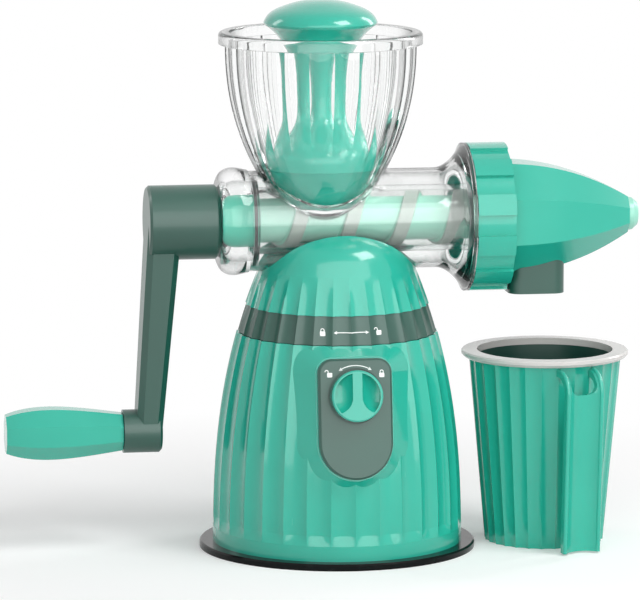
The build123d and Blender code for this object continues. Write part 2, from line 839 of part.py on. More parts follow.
with BuildPart() as rear_cap:
    with BuildSketch(BARREL_SIDE):
        with BuildLine():
            bulge = Spline(
                (cap_rear, cap_rear_radius),
                (cap_rear + cap_bulge_at * cap_length, cap_radius),
                (barrel_rear, barrel_radius + cap_lip),
                tangents=[(0.25, 1), (1, -0.15)],
            )
            Polyline(
                bulge @ 1,
                (barrel_rear, barrel_radius - barrel_wall - seat_gap),
                (tube_rear, barrel_radius - barrel_wall - seat_gap),
                (tube_rear, journal_radius + fit_gap),
                (cap_plate, journal_radius + fit_gap),
                (cap_plate, cap_rear_radius),
                (cap_rear + cap_wall, cap_rear_radius - cap_wall),
                (cap_rear + cap_wall, bearing_radius + running_gap),
                (cap_rear, bearing_radius + running_gap),
                bulge @ 0,
            )
        make_face()
    revolve(axis=BARREL_AXIS)
    # groove for the seal
    with BuildSketch(across_barrel(barrel_rear + seal_inset)):
        Circle(barrel_radius)
        Circle(barrel_radius - barrel_wall - seat_gap - seal_depth, mode=Mode.SUBTRACT)
    extrude(amount=seal_width, mode=Mode.SUBTRACT)
save(rear_cap, "rear_cap")

with BuildPart() as barrel_seal:
    with BuildSketch(across_barrel(barrel_rear + seal_inset + seal_fit)):
        Circle(barrel_radius - barrel_wall - seat_gap / 2)
        Circle(barrel_radius - barrel_wall - seat_gap - seal_depth + seal_fit, mode=Mode.SUBTRACT)
    extrude(amount=seal_width - 2 * seal_fit)
save(barrel_seal, "barrel_seal")

# ================================================================ drive
hub_front = cap_rear - hub_gap
hub_rear = hub_front - hub_length
shaft_rear = hub_front - shaft_into_hub
shaft_front = shaft_rear + shaft_length
grip_z = axis_z - crank_throw
hex_radius = hex_flats / sqrt(3)
auger_start = tube_rear
auger_end = spigot_end - flight_stop
nose_end = strainer_end_x - nose_gap

with BuildPart() as auger:
    with BuildSketch(BARREL_SIDE):
        with BuildLine():
            Polyline(
                (cap_rear, 0),
                (cap_rear, bearing_radius),
                (cap_rear + cap_wall + fit_gap, bearing_radius),
                (cap_rear + cap_wall + fit_gap, journal_radius),
                (auger_start, journal_radius),
                (auger_start, core_radius),
                (auger_end, core_radius),
                (nose_end, nose_radius),
                (nose_end, 0),
                close=True,
            )
        make_face()
    revolve(axis=BARREL_AXIS)
    # one long flight wound round the core
    with BuildLine():
        winding = Helix(
            flight_pitch,
            auger_end - auger_start - flight_root,
            core_radius - flight_sink,
            center=(auger_start + flight_root / 2, 0, axis_z),
            direction=(1, 0, 0),
            lefthand=True,
        )
    with BuildSketch(Plane(origin=winding @ 0, x_dir=(1, 0, 0), z_dir=winding % 0)):
        flight_height = flight_radius - core_radius + flight_sink
        with BuildLine():
            Polyline(
                (-flight_root / 2, 0),
                (flight_root / 2, 0),
                (flight_tip / 2, flight_height),
                (-flight_tip / 2, flight_height),
                close=True,
            )
        make_face()
    sweep(path=winding, is_frenet=True)
    with BuildSketch(across_barrel(cap_rear)):
        RegularPolygon(hex_radius + screw_gap, 6)
    extrude(amount=shaft_front - cap_rear + fit_gap, mode=Mode.SUBTRACT)
save(auger, "auger")

with BuildPart() as drive_shaft:
    with BuildSketch(across_barrel(shaft_rear)):
        RegularPolygon(hex_radius, 6)
    extrude(amount=shaft_length)
save(drive_shaft, "drive_shaft")


def bevelled_face(z, centre_x, thick, width, bevel):
    """Rectangle with cut corners at height z."""
    half_x, half_y = thick / 2, width / 2
    quarter = [(half_x, half_y - bevel), (half_x - bevel, half_y)]
    with BuildSketch(Plane.XY.offset(z)) as section:
        with BuildLine():
            right = quarter + [(-x, y) for x, y in reversed(quarter)]
            ring = right + [(-x, -y) for x, y in right]
            Polyline(*[(centre_x + x, y) for x, y in ring], close=True)
        make_face()
    return section.sketch.face()


arm_low_x = hub_rear + arm_thick_top / 2 - arm_lean + (arm_thick_top - arm_thick_low) / 2
boss_rear = arm_low_x - arm_thick_low / 2 - arm_boss_proud
boss_front = arm_low_x + arm_thick_low / 2
grip_front = boss_rear - fit_gap
grip_rear = grip_front - grip_length

with BuildPart() as crank_arm:
    with BuildSketch(across_barrel(hub_rear)):
        Circle(hub_radius)
    extrude(amount=hub_length)
    chamfer(crank_arm.edges().filter_by(GeomType.CIRCLE), hub_bevel)
    top = bevelled_face(axis_z, hub_rear + arm_thick_top / 2, arm_thick_top, arm_width_top, arm_bevel)
    low = bevelled_face(grip_z, arm_low_x, arm_thick_low, arm_width_low, arm_bevel)
    loft(sections=[top, low])
    with BuildSketch(Plane(origin=(boss_rear, 0, grip_z), x_dir=(0, 1, 0), z_dir=(1, 0, 0))):
        Circle(arm_boss_radius)
    extrude(amount=boss_front - boss_rear)
    chamfer(crank_arm.edges().filter_by(GeomType.CIRCLE).group_by(Axis.Z)[0], hub_bevel)
    with BuildSketch(Plane(origin=(boss_rear, 0, grip_z), x_dir=(0, 1, 0), z_dir=(1, 0, 0))):
        Circle(axle_radius + screw_gap)
    extrude(amount=axle_in_boss, mode=Mode.SUBTRACT)
    with BuildSketch(across_barrel(shaft_rear - fit_gap)):
        RegularPolygon(hex_radius + screw_gap, 6)
    extrude(amount=shaft_into_hub + 2 * fit_gap, mode=Mode.SUBTRACT)
save(crank_arm, "crank_arm")

head_face = grip_rear + grip_cap_thick + fit_gap

with BuildPart() as grip_axle:
    with BuildSketch(Plane(origin=(head_face, 0, grip_z), x_dir=(0, 1, 0), z_dir=(1, 0, 0))):
        Circle(axle_head_radius)
    extrude(amount=axle_head_thick)
    with BuildSketch(Plane(origin=(head_face, 0, grip_z), x_dir=(0, 1, 0), z_dir=(1, 0, 0))):
        Circle(axle_radius)
    extrude(amount=boss_rear + axle_in_boss - head_face)
save(grip_axle, "grip_axle")


def facet_ring(x, height, radius, sides, turn=0.0):
    """Flat-sided section of a grip or cone, square to the X axis at height above the table."""
    with BuildSketch(Plane(origin=(x, 0, height), x_dir=(0, 1, 0), z_dir=(1, 0, 0))) as section:
        RegularPolygon(radius, sides, rotation=turn)
    return section.sketch.face()


grip_places = [0.0, 0.15, 0.42, 0.75, 1.0]
grip_radii = [grip_end_radius, grip_shoulder_radius, grip_belly_radius, grip_waist_radius, grip_neck_radius]

with BuildPart() as crank_grip:
    loft(
        sections=[
            facet_ring(grip_rear + share * grip_length, grip_z, radius, grip_facets, 180 / grip_facets)
            for share, radius in zip(grip_places, grip_radii)
        ]
    )
    with BuildSketch(Plane(origin=(grip_rear, 0, grip_z), x_dir=(0, 1, 0), z_dir=(1, 0, 0))):
        Circle(axle_radius + running_gap)
    extrude(amount=grip_length, mode=Mode.SUBTRACT)
    with BuildSketch(Plane(origin=(grip_rear, 0, grip_z), x_dir=(0, 1, 0), z_dir=(1, 0, 0))):
        Circle(grip_cap_radius)
    extrude(amount=grip_cap_thick + 2 * fit_gap + axle_head_thick, mode=Mode.SUBTRACT)
save(crank_grip, "crank_grip")

with BuildPart() as grip_cap:
    with BuildSketch(Plane(origin=(grip_rear, 0, grip_z), x_dir=(0, 1, 0), z_dir=(1, 0, 0))):
        Circle(grip_cap_radius - seat_gap)
    extrude(amount=grip_cap_thick)
save(grip_cap, "grip_cap")

# ================================================================ front: strainer cone and spout
strainer_front = flange_rear + strainer_flange


def cone_radius(x):
    """Radius over the ridges of the front cone."""
    share = max(x - cone_start, 0.0) / cone_length
    return cone_root_radius - (cone_root_radius - cone_tip_radius) * share**cone_power


def cone_form(inset):
    """Solid of the cone's outside, moved in by inset."""
    places = [cone_start + cone_length * share for share in cone_shares]
    with BuildPart() as form:
        loft(sections=[facet_ring(x, axis_z, cone_radius(x) - inset, cone_facets, cone_turn) for x in places])
    return form.part


with BuildPart() as front_gasket:
    with BuildSketch(across_barrel(spigot_end)):
        Circle(spigot_radius)
        Circle(spigot_radius - spigot_wall, mode=Mode.SUBTRACT)
    extrude(amount=gasket_thick)
save(front_gasket, "front_gasket")

with BuildPart() as front_cone:
    with BuildSketch(across_barrel(flange_rear)):
        Circle(spigot_radius)
    extrude(amount=cone_flange_thick)
    add(cone_form(0))
    # hollow for the strainer, with room for juice to run down
    with BuildSketch(BARREL_SIDE):
        with BuildLine():
            inside = Spline(
                [
                    (x, cone_radius(x) * cos(pi / cone_facets) - cone_wall)
                    for x in [cone_start + (strainer_end_x - cone_start) * i / 4 for i in range(5)]
                ]
            )
            Polyline(
                inside @ 1,
                (strainer_end_x, 0),
                (strainer_front, 0),
                (strainer_front, cone_root_radius * cos(pi / cone_facets) - cone_wall),
                inside @ 0,
            )
        make_face()
    revolve(axis=BARREL_AXIS, mode=Mode.SUBTRACT)
    with BuildSketch(across_barrel(flange_rear)):
        Circle(strainer_seat_radius + seat_gap)
    extrude(amount=strainer_flange, mode=Mode.SUBTRACT)
    # pulp outlet through the tip, which ends in the liner's collar
    with BuildSketch(across_barrel(strainer_end_x)):
        Circle(outlet_radius + outlet_wall + seat_gap)
    extrude(amount=cone_tip_x - strainer_end_x, mode=Mode.SUBTRACT)
    with BuildSketch(across_barrel(cone_tip_x - tip_length)):
        Circle(cone_root_radius)
    extrude(amount=2 * tip_length, mode=Mode.SUBTRACT)
    # juice outlet in the floor of the cone
    with BuildSketch(Plane.XY.offset(axis_z)):
        with Locations((spout_x, 0)):
            Rectangle(spout_length - 4 * spout_wall, spout_width - 4 * spout_wall)
    extrude(amount=-cone_root_radius, mode=Mode.SUBTRACT)
save(front_cone, "front_cone")

slot_step = (strainer_end_x - strainer_front) / (slot_rows + 1)


def strainer_radius_at(x):
    share = (x - strainer_front) / (strainer_end_x - strainer_front)
    return strainer_radius + (strainer_neck_radius - strainer_radius) * share


with BuildPart() as strainer:
    with BuildSketch(BARREL_SIDE):
        with BuildLine():
            Polyline(
                (flange_rear, strainer_radius - strainer_wall),
                (flange_rear, strainer_seat_radius),
                (strainer_front, strainer_seat_radius),
                (strainer_front, strainer_radius),
                (strainer_end_x, strainer_neck_radius),
                (strainer_end_x, strainer_neck_radius - strainer_wall),
                (strainer_front, strainer_radius - strainer_wall),
                close=True,
            )
        make_face()
    revolve(axis=BARREL_AXIS)
    for row in range(slot_rows):
        slot_x = strainer_front + (row + slot_offset) * slot_step
        with BuildSketch(across_barrel(slot_x)):
            with PolarLocations(0, slot_count):
                Rectangle(strainer_seat_radius, slot_width, align=(Align.MIN, Align.CENTER))
            Circle(strainer_neck_radius / 2, mode=Mode.SUBTRACT)
        extrude(amount=slot_step / 2, mode=Mode.SUBTRACT)
save(strainer, "strainer")

tip_rear = cone_tip_x - tip_length + seat_gap
tip_radius = cone_radius(tip_rear) * cos(pi / cone_facets) - tip_step

with BuildPart() as pulp_tip:
    with BuildSketch(BARREL_SIDE):
        with BuildLine():
            Polyline(
                (strainer_end_x + fit_gap, outlet_radius),
                (strainer_end_x + fit_gap, outlet_radius + outlet_wall),
                (tip_rear, outlet_radius + outlet_wall),
                (tip_rear, tip_radius),
                (cone_tip_x - tip_length / 2, tip_radius - tip_step),
                (cone_tip_x, cone_tip_radius - tip_step),
                (cone_tip_x, outlet_radius),
                close=True,
            )
        make_face()
    revolve(axis=BARREL_AXIS)
save(pulp_tip, "pulp_tip")

with BuildPart() as juice_spout:
    with BuildSketch(Plane.XY.offset(axis_z - spout_drop)):
        with Locations((spout_x, 0)):
            RectangleRounded(spout_length, spout_width, spout_corner)
    extrude(amount=spout_drop)
    with BuildSketch(Plane.XY.offset(axis_z - spout_drop)):
        with Locations((spout_x, 0)):
            inside = (spout_length - 2 * spout_wall, spout_width - 2 * spout_wall)
            RectangleRounded(*inside, spout_corner - spout_wall)
    extrude(amount=spout_drop, mode=Mode.SUBTRACT)
    add(cone_form(-seat_gap), mode=Mode.SUBTRACT)
    with BuildSketch(across_barrel(flange_rear - spout_length)):
        Circle(nut_radius + nut_lug_height + fit_gap)
    extrude(amount=nut_length, mode=Mode.SUBTRACT)
save(juice_spout, "juice_spout")

# ================================================================ ring nut
nut_rear = bell_end + bell_rim + nut_start_gap
pad_places = [90, 270]
step_turns = [(i - 1.5) * nut_step for i in range(4)]
step_places = [side + turn for side in (0, 180) for turn in step_turns]

with BuildPart() as ring_nut:
    with BuildSketch(across_barrel(nut_rear)):
        Circle(nut_radius)
    extrude(amount=nut_length)
    for places, width in ((pad_places, nut_pad_width), (step_places, nut_step_width)):
        for place in places:
            with BuildSketch(across_barrel(nut_rear)):
                with BuildLine():
                    rim = CenterArc((0, 0), nut_radius + nut_lug_height, place - width / 2, width)
                    Line(rim @ 0, (0, 0))
                    Line(rim @ 1, (0, 0))
                make_face()
            extrude(amount=nut_length)
    with BuildSketch(across_barrel(nut_rear)):
        Circle(spigot_radius + 2 * fit_gap)
    extrude(amount=cone_start + fit_gap - nut_rear, mode=Mode.SUBTRACT)
    with BuildSketch(across_barrel(nut_rear)):
        Circle(cone_root_radius + 2 * fit_gap)
    extrude(amount=nut_length, mode=Mode.SUBTRACT)
save(ring_nut, "ring_nut")

# ================================================================ pusher
pusher_low = axis_z + pusher_bottom
cap_seat_z = hopper_rim_z + cap_seat_rise
throat_z = hopper_rim_z - pusher_throat[1]
waist_radius = pusher_waist[0]
flare_z = hopper_rim_z - pusher_flare[0][1]
crease_z = hopper_rim_z - pusher_crease_drop


def pusher_foot_radius(z):
    return hopper_radius(z) - hopper_wall - pusher_gap


def pusher_outline():
    """Half section of the pusher's body."""
    shoulder = (cap_seat_radius, cap_seat_z)
    levels = (pusher_throat, pusher_waist, *pusher_flare)
    throat, neck, *flare = [(radius, hopper_rim_z - drop) for radius, drop in levels]
    edge = (pusher_foot_radius(crease_z), crease_z)
    under = Spline(shoulder, throat, neck, tangents=[(-1, -0.62), (0, -1)])
    bell = Spline(neck, *flare, edge, tangents=[(0, -1), (0, -1)])
    drop = (crease_z - pusher_low) / 4
    heights = [crease_z - i * drop for i in range(5)]
    bowl = Spline([(pusher_foot_radius(z) - pusher_crease_step, z) for z in heights])
    Line(bell @ 1, bowl @ 0)
    Polyline(bowl @ 1, (0, pusher_low), (0, cap_seat_z), under @ 0)


with BuildPart() as pusher:
    with BuildSketch(HOPPER_SIDE):
        with BuildLine():
            pusher_outline()
        make_face()
    revolve(axis=HOPPER_AXIS)
    with BuildSketch(across_barrel(hopper_x)):
        Circle(flight_radius + saddle_gap)
    extrude(amount=hopper_rim_radius, both=True, mode=Mode.SUBTRACT)
    # hollow, closed by the cap
    with BuildSketch(HOPPER_SIDE):
        with BuildLine():
            Polyline(
                (0, cap_seat_z),
                (cap_seat_radius - 3 * pusher_wall, cap_seat_z),
                (waist_radius - pusher_wall, throat_z),
                (waist_radius - pusher_wall, flare_z),
                (0, flare_z),
                close=True,
            )
        make_face()
    revolve(axis=HOPPER_AXIS, mode=Mode.SUBTRACT)
save(pusher, "pusher")

crown_z = hopper_rim_z + pusher_rise

with BuildPart() as pusher_cap:
    with BuildSketch(HOPPER_SIDE):
        with BuildLine():
            crown = Spline(
                (0, crown_z),
                (pusher_crown_share * pusher_cap_radius, crown_z - pusher_crown_drop),
                (pusher_cap_radius, hopper_rim_z + pusher_cap_rise),
                tangents=[(1, 0), (0.3, -1)],
            )
            Polyline(crown @ 1, (cap_seat_radius, cap_seat_z), (0, cap_seat_z), crown @ 0)
        make_face()
    revolve(axis=HOPPER_AXIS)
    with BuildSketch(Plane.XY.offset(cap_seat_z)):
        with Locations((hopper_x, 0)):
            Circle(cap_seat_radius - 3 * pusher_wall)
    extrude(amount=cap_hollow, mode=Mode.SUBTRACT)
save(pusher_cap, "pusher_cap")

# ================================================================ juice cup
cup_x = foot_radius + cup_gap + cup_bottom_radius
CUP_AXIS = Axis((cup_x, cup_y, 0), (0, 0, 1))
CUP_SIDE = Plane(origin=(cup_x, cup_y, 0), x_dir=(1, 0, 0), z_dir=(0, -1, 0))
rim_under = cup_height - cup_rim_height


def cup_radius(z):
    """Radius of the cup over the ridges of its flutes."""
    return cup_bottom_radius + (cup_top_radius - cup_bottom_radius) * z / rim_under


cup_inner_gap = cup_flute_depth + cup_wall

with BuildPart() as cup_shell:
    loft(
        sections=[
            fluted_face(z, cup_radius(z), cup_flute_depth, cup_flutes, (cup_x, cup_y)).face()
            for z in (0, rim_under)
        ],
        ruled=True,
    )
    with BuildSketch(CUP_SIDE):
        with BuildLine():
            Polyline(
                (0, cup_floor),
                (cup_radius(cup_floor) - cup_inner_gap, cup_floor),
                (cup_radius(rim_under) - cup_inner_gap, rim_under),
                (0, rim_under),
                close=True,
            )
        make_face()
    revolve(axis=CUP_AXIS, mode=Mode.SUBTRACT)
save(cup_shell, "cup_shell")

with BuildPart() as cup_liner:
    with BuildSketch(CUP_SIDE):
        with BuildLine():
            outer = cup_inner_gap + seat_gap
            inner = outer + liner_wall
            Polyline(
                (0, cup_floor),
                (cup_radius(cup_floor) - outer, cup_floor),
                (cup_radius(rim_under) - outer, rim_under),
                (cup_radius(rim_under) - inner, rim_under),
                (cup_radius(cup_floor + liner_wall) - inner, cup_floor + liner_wall),
                (0, cup_floor + liner_wall),
                close=True,
            )
        make_face()
    revolve(axis=CUP_AXIS)
save(cup_liner, "cup_liner")

with BuildPart() as cup_rim:
    with BuildSketch(CUP_SIDE):
        with BuildLine():
            bore = cup_radius(rim_under) - cup_inner_gap - liner_wall
            Polyline(
                (bore, rim_under),
                (cup_rim_radius - rim_slope, rim_under),
                (cup_rim_radius, rim_under + rim_slope),
                (cup_rim_radius, cup_height - rim_slope / 2),
                (cup_rim_radius - rim_slope / 2, cup_height),
                (bore, cup_height),
                close=True,
            )
        make_face()
    revolve(axis=CUP_AXIS)
save(cup_rim, "cup_rim")

handle_turn = radians(handle_angle)
handle_out = (cos(handle_turn), sin(handle_turn), 0)
handle_across = (sin(handle_turn), -cos(handle_turn), 0)
HANDLE_PLANE = Plane(origin=(cup_x, cup_y, 0), x_dir=handle_out, z_dir=handle_across)
NOTCH_PLANE = Plane(origin=(cup_x, cup_y, 0), x_dir=-HANDLE_PLANE.z_dir, z_dir=handle_out)

handle_top = rim_under - handle_top_gap

with BuildPart() as cup_handle:
    # out from under the rim, then down to a free foot
    with BuildLine(HANDLE_PLANE):
        spine = FilletPolyline(
            (handle_reach - handle_tuck, handle_foot),
            (handle_reach, handle_top),
            (0, handle_top),
            radius=handle_bend,
        )
    # hollow face between two raised edges
    with BuildSketch(Plane(origin=spine @ 0, x_dir=NOTCH_PLANE.x_dir, z_dir=spine % 0)):
        half = handle_width / 2
        crest = half - handle_edge / 2
        foot = half - handle_edge
        with BuildLine():
            for side in (-1, 1):
                Line((side * half, handle_edge_depth), (side * half, handle_edge_round))
                outside, inside = [(side * x, handle_edge_round) for x in (half, foot)]
                ThreePointArc(outside, (side * crest, 0), inside)
            ThreePointArc((-foot, handle_edge_round), (0, handle_hollow), (foot, handle_edge_round))
            back = (0, handle_hollow + handle_web)
            ThreePointArc((-half, handle_edge_depth), back, (half, handle_edge_depth))
        make_face()
    sweep(path=spine)
    # the hollow face opens in a rounded notch under the rim
    with BuildSketch(NOTCH_PLANE):
        with BuildLine():
            FilletPolyline(
                (-notch_half, handle_top + handle_bend),
                (-notch_half, handle_top - notch_depth),
                (notch_half, handle_top - notch_depth),
                (notch_half, handle_top + handle_bend),
                radius=notch_round,
                close=True,
            )
        make_face()
    extrude(amount=handle_reach, mode=Mode.SUBTRACT)
    # seated on the ridges of the cup
    with BuildSketch(CUP_SIDE):
        with BuildLine():
            Polyline(
                (0, 0),
                (cup_radius(0) + seat_gap, 0),
                (cup_radius(rim_under) + seat_gap, rim_under),
                (0, rim_under),
                close=True,
            )
        make_face()
    revolve(axis=CUP_AXIS, mode=Mode.SUBTRACT)
save(cup_handle, "cup_handle")
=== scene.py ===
"""Looks of the manual wheatgrass juicer: glossy green and dark green mouldings, a clear barrel and
hopper, black rubber foot, the auger's flight, and the lock signs printed on the band and the
control plate.

Metres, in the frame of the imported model: +Z up, +X along the barrel, the control knob faces -Y.
"""

import json
import math

import bmesh
import bpy
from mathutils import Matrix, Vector
from mathutils.bvhtree import BVHTree


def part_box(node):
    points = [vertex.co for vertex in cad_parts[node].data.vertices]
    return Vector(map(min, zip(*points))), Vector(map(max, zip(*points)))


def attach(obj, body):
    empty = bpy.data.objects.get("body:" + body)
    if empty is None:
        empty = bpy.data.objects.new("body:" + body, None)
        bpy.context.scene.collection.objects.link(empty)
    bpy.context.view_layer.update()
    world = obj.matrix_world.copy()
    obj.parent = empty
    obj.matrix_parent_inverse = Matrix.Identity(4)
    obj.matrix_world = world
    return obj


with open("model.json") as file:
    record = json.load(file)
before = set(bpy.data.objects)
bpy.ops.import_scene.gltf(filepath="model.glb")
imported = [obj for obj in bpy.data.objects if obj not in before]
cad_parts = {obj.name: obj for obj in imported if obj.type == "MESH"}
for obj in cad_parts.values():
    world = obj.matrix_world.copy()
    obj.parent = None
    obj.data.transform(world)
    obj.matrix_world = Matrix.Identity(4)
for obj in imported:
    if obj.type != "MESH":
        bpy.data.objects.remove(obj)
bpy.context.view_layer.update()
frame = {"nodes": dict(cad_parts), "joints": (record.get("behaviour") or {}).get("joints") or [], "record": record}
nodes = frame["nodes"]
MM = 0.001

# ---------------------------------------------------------------- places read from the frame
joints = {joint["name"]: joint for joint in frame["joints"]}
BARREL_Z = joints["crank_turn"]["pos_m"][2]
KNOB_CENTRE = Vector(joints["knob_turn"]["pos_m"])
KNOB_INWARD = Vector(joints["knob_turn"]["axis"]).normalized()


# ================================================================ shader building
class Signal:
    """One shader value. Arithmetic on signals adds the Math nodes that work it out."""

    def __init__(self, finish, socket):
        self.finish = finish
        self.socket = socket

    def _math(self, operation, first, second):
        node = self.finish.node("ShaderNodeMath", {"operation": operation}, {0: first, 1: second})
        return Signal(self.finish, node.outputs[0])

    def __add__(self, other):
        return self._math("ADD", self, other)

    __radd__ = __add__

    def __sub__(self, other):
        return self._math("SUBTRACT", self, other)

    def __rsub__(self, other):
        return self._math("SUBTRACT", other, self)

    def __mul__(self, other):
        return self._math("MULTIPLY", self, other)

    __rmul__ = __mul__

    def __truediv__(self, other):
        return self._math("DIVIDE", self, other)

    def __rtruediv__(self, other):
        return self._math("DIVIDE", other, self)

    def __lt__(self, other):
        return self._math("LESS_THAN", self, other)

    def __pow__(self, other):
        return self._math("POWER", self, other)

    def __rpow__(self, other):
        return self._math("POWER", other, self)


class Finish:
    """The nodes of a procedural material, or of the world, being built."""

    def __init__(self, name, world=None):
        self.owner = world or bpy.data.materials.new(name)
        self.owner.use_nodes = True
        self.tree = self.owner.node_tree
        self.tree.nodes.clear()
        self.output = self.node("ShaderNodeOutputWorld" if world else "ShaderNodeOutputMaterial")

    def node(self, kind, settings=None, sockets=None):
        """Any shader node: its settings first, then the values or links of its sockets."""
        node = self.tree.nodes.new(kind)
        for key, value in (settings or {}).items():
            setattr(node, key, value)
        for key, value in (sockets or {}).items():
            self.feed(node.inputs[key], value)
        return node

    def feed(self, socket, value):
        if isinstance(value, Signal):
            self.tree.links.new(value.socket, socket)
        elif isinstance(value, bpy.types.NodeSocket):
            self.tree.links.new(value, socket)
        else:
            socket.default_value = value

    def signal(self, socket):
        return Signal(self, socket)

    def place(self):
        """Position in the object's own frame, as a vector and as x, y and z."""
        spot = self.node("ShaderNodeTexCoord").outputs["Object"]
        parts = self.node("ShaderNodeSeparateXYZ", None, {0: spot})
        return spot, [self.signal(parts.outputs[i]) for i in range(3)]

    def noise(self, scale, detail=3.0, stretch=(1, 1, 1)):
        spot, _ = self.place()
        mapping = self.node("ShaderNodeMapping", None, {"Vector": spot, "Scale": stretch})
        texture = self.node(
            "ShaderNodeTexNoise",
            None,
            {"Vector": mapping.outputs[0], "Scale": scale, "Detail": detail},
        )
        return self.signal(texture.outputs["Fac"])

    def blend(self, share, first, second):
        """Colour between first and second."""
        colours = [(*c, 1.0) if isinstance(c, tuple) and len(c) == 3 else c for c in (first, second)]
        mix = self.node("ShaderNodeMix", {"data_type": "RGBA"}, {0: share, 6: colours[0], 7: colours[1]})
        return mix.outputs[2]

    def bump(self, height, strength, distance):
        sockets = {"Strength": strength, "Distance": distance, "Height": height}
        return self.node("ShaderNodeBump", None, sockets).outputs[0]

    def limited(self, value):
        node = self.node("ShaderNodeClamp", None, {0: value})
        return self.signal(node.outputs[0])

    def seen_directly(self):
        """1 where the camera sees this itself, in a reflection or through something clear, else 0."""
        rays = self.node("ShaderNodeLightPath").outputs
        straight_rays = (
            self.signal(rays["Is Camera Ray"])
            + self.signal(rays["Is Glossy Ray"])
            + self.signal(rays["Is Transmission Ray"])
        )
        return self.limited(straight_rays) * (self.signal(rays["Diffuse Depth"]) < 0.5)

    def mixed(self, share, first, second):
        """Shader between the shaders first and second."""
        sockets = {0: share, 1: first.outputs[0], 2: second.outputs[0]}
        return self.node("ShaderNodeMixShader", None, sockets)

    def close(self, socket):
        """Put the last shader on the output."""
        self.feed(self.output.inputs[0], socket)
        return self.owner

    def surface(self, **sockets):
        """Finish with a Principled BSDF; sockets are named with underscores for spaces."""
        named = {key.replace("_", " "): value for key, value in sockets.items()}
        shader = self.node("ShaderNodeBsdfPrincipled", None, named)
        return self.close(shader.outputs[0])


# ================================================================ materials
FLOW_CLOUDS = 22.0  # noise scales, per metre
ORANGE_PEEL = 900.0
SCRATCHES = 700.0
SCRATCH_STRETCH = (1.0, 1.0, 0.06)  # they run up and down
SCRATCH_FROM = 0.62
COAT_ROUGHNESS = 0.06
CLEAR_IOR = 1.49
EDGE_SHADE_POWER = 1.4  # how quickly the painted edge shade gathers towards an edge
EDGE_SHADE_ROUGHNESS = 0.12
HAZE_SHADE = 0.985
FLIGHT_SHADE_RADIUS = 14.8 * MM  # painted shade: the flight is painted grey from here outwards
FLIGHT_SHADE_RAMP = 2500.0
JOURNAL_END_X = -49.5 * MM  # the auger's bearing is plain green up to here
JOURNAL_RAMP = 3000.0


def moulded_plastic(name, colour, deep, roughness, coat=0.35, specular=0.5, alpha=1.0):
    """Glossy moulded plastic: faint flow clouds, an orange-peel skin and fine handling scratches."""
    finish = Finish(name)
    clouds = finish.noise(FLOW_CLOUDS, 2.0)
    peel = finish.noise(ORANGE_PEEL, 1.0)
    scratches = finish.noise(SCRATCHES, 2.0, SCRATCH_STRETCH)
    worn = finish.limited((scratches - SCRATCH_FROM) * 6.0)
    shade = finish.blend(finish.limited((clouds - 0.35) * 1.6), deep, colour)
    return finish.surface(
        Base_Color=shade,
        Roughness=roughness + clouds * 0.05 + worn * 0.05,
        Coat_Weight=coat,
        Coat_Roughness=COAT_ROUGHNESS,
        Specular_IOR_Level=specular,
        Alpha=alpha,
        Normal=finish.bump(peel + worn * 0.2, 0.05, 0.0004),
    )


def clear_plastic(name, tint, edge_shade_colour, edge_from, share, roughness=0.0):
    """Clear polycarbonate: light passes to what is inside, and edges seen side-on are painted dark, a painted
    shade for the dark reflections at its edges.
    """
    finish = Finish(name)
    haze = finish.noise(60.0, 2.0)
    skin = finish.bump(finish.noise(150.0, 2.0), 0.02, 0.0005)
    facing = finish.signal(finish.node("ShaderNodeLayerWeight", None, {"Blend": 0.5}).outputs["Facing"])
    # painted shade: this mask darkens the clear plastic where it is seen side-on
    edge_shade_share = finish.limited((facing - edge_from) / (1.0 - edge_from)) ** EDGE_SHADE_POWER * share
    glass = finish.node(
        "ShaderNodeBsdfPrincipled",
        None,
        {
            "Base Color": finish.blend(haze, tint, tuple(c * HAZE_SHADE for c in tint)),
            "Roughness": roughness + haze * 0.015,
            "IOR": CLEAR_IOR,
            "Transmission Weight": 1.0,
            "Normal": skin,
        },
    )
    # painted shade: a dark opaque surface mixed in at the edges in place of dark reflections
    painted_edge_shade = finish.node(
        "ShaderNodeBsdfPrincipled",
        None,
        {"Base Color": (*edge_shade_colour, 1.0), "Roughness": EDGE_SHADE_ROUGHNESS, "Normal": skin},
    )
    clear = finish.node("ShaderNodeBsdfTransparent", None, {"Color": (*tint, 1.0)})
    shadow = finish.node("ShaderNodeLightPath").outputs["Is Shadow Ray"]
    mix = finish.mixed(shadow, finish.mixed(edge_shade_share, glass, painted_edge_shade), clear)
    return finish.close(mix.outputs[0])


def auger_plastic():
    """Pale mint plastic whose flight is painted grey on its outer edge, a painted shade for the grey bands along
    the flight.
    """
    finish = Finish("auger_mint")
    _, (x, y, z) = finish.place()
    rise = z - BARREL_Z
    radius = (y * y + rise * rise) ** 0.5
    past_journal = finish.limited((x - JOURNAL_END_X) * JOURNAL_RAMP)
    # painted shade: edge is the mask where the flight's outer edge is painted grey
    edge = finish.limited((radius - FLIGHT_SHADE_RADIUS) * FLIGHT_SHADE_RAMP) * past_journal
    clouds = finish.noise(30.0, 2.0)
    core = finish.blend(clouds, (0.27, 0.64, 0.50), (0.31, 0.68, 0.55))
    hub = finish.blend(finish.limited((JOURNAL_END_X - x) * JOURNAL_RAMP), core, (0.045, 0.48, 0.34))
    return finish.surface(
        Base_Color=finish.blend(edge, hub, (0.36, 0.42, 0.38)),
        Roughness=0.32 + clouds * 0.06,
        Coat_Weight=0.3,
        Normal=finish.bump(finish.noise(600.0, 1.0), 0.05, 0.0004),
    )


